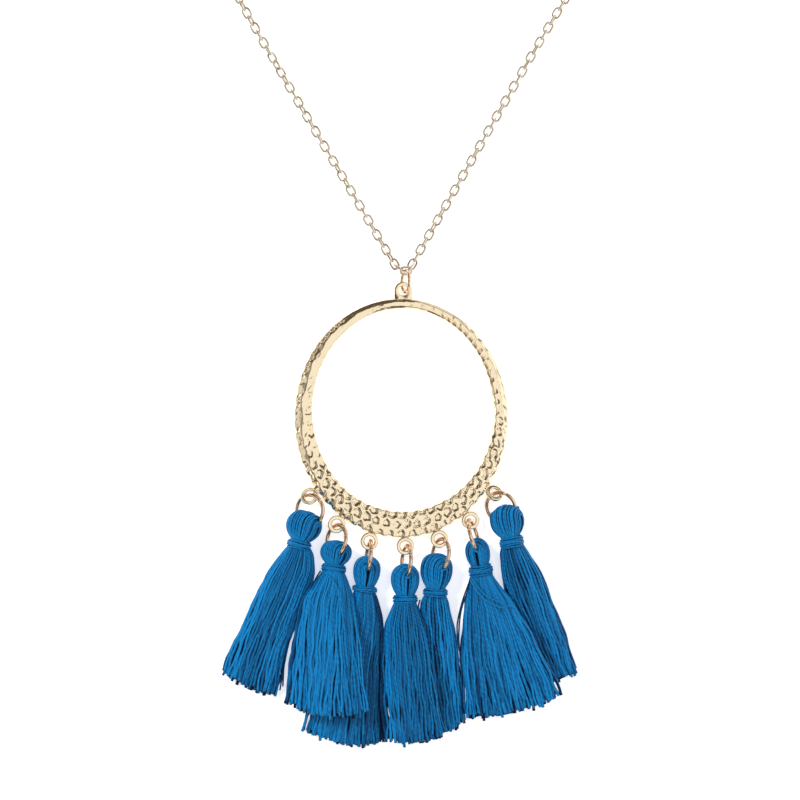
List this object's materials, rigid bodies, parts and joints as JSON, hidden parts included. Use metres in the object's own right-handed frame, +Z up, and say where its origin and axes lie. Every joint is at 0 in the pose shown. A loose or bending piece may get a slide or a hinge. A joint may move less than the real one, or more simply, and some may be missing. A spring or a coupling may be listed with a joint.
{
  "type": "tassel necklace",
  "caption": "Long chain necklace with a hammered oval hoop pendant and thread tassels hung from jump rings along its foot, laid out flat.",
  "frame": {"origin": "on the hoop's flat back, at the middle of its foot, on the surface that the necklace lies on", "axes": "+Z up from the surface towards the viewer, +Y along the necklace from the tassels towards the clasp, +X to the viewer's right"},
  "size_m": [0.1853, 0.3982, 0.0096],
  "materials": {
    "hammered_gold": "polished pale gold plating with hammered dents",
    "chain_gold": "bright gold plated cable chain",
    "ring_gold": "polished gold plated wire",
    "ring_copper": "polished rose gold plated wire",
    "thread": "azure blue twisted thread with a soft sheen",
    "wrap_thread": "azure blue thread wound tight"
  },
  "bodies": {
    "root": {"hoop": "hammered_gold", "bail_ring": "ring_gold", "chain": "chain_gold", "clasp": "chain_gold", "jump_ring_1": "ring_copper", "jump_ring_2": "ring_copper", "jump_ring_3": "ring_copper", "jump_ring_4": "ring_copper", "jump_ring_5": "ring_copper", "jump_ring_6": "ring_copper", "jump_ring_7": "ring_copper", "tassel_1": "thread", "tassel_2": "thread", "tassel_3": "thread", "tassel_4": "thread", "tassel_5": "thread", "tassel_6": "thread", "tassel_7": "thread", "wrap_1": "wrap_thread", "wrap_2": "wrap_thread", "wrap_3": "wrap_thread", "wrap_4": "wrap_thread", "wrap_5": "wrap_thread", "wrap_6": "wrap_thread", "wrap_7": "wrap_thread"}
  },
  "joints": []
}
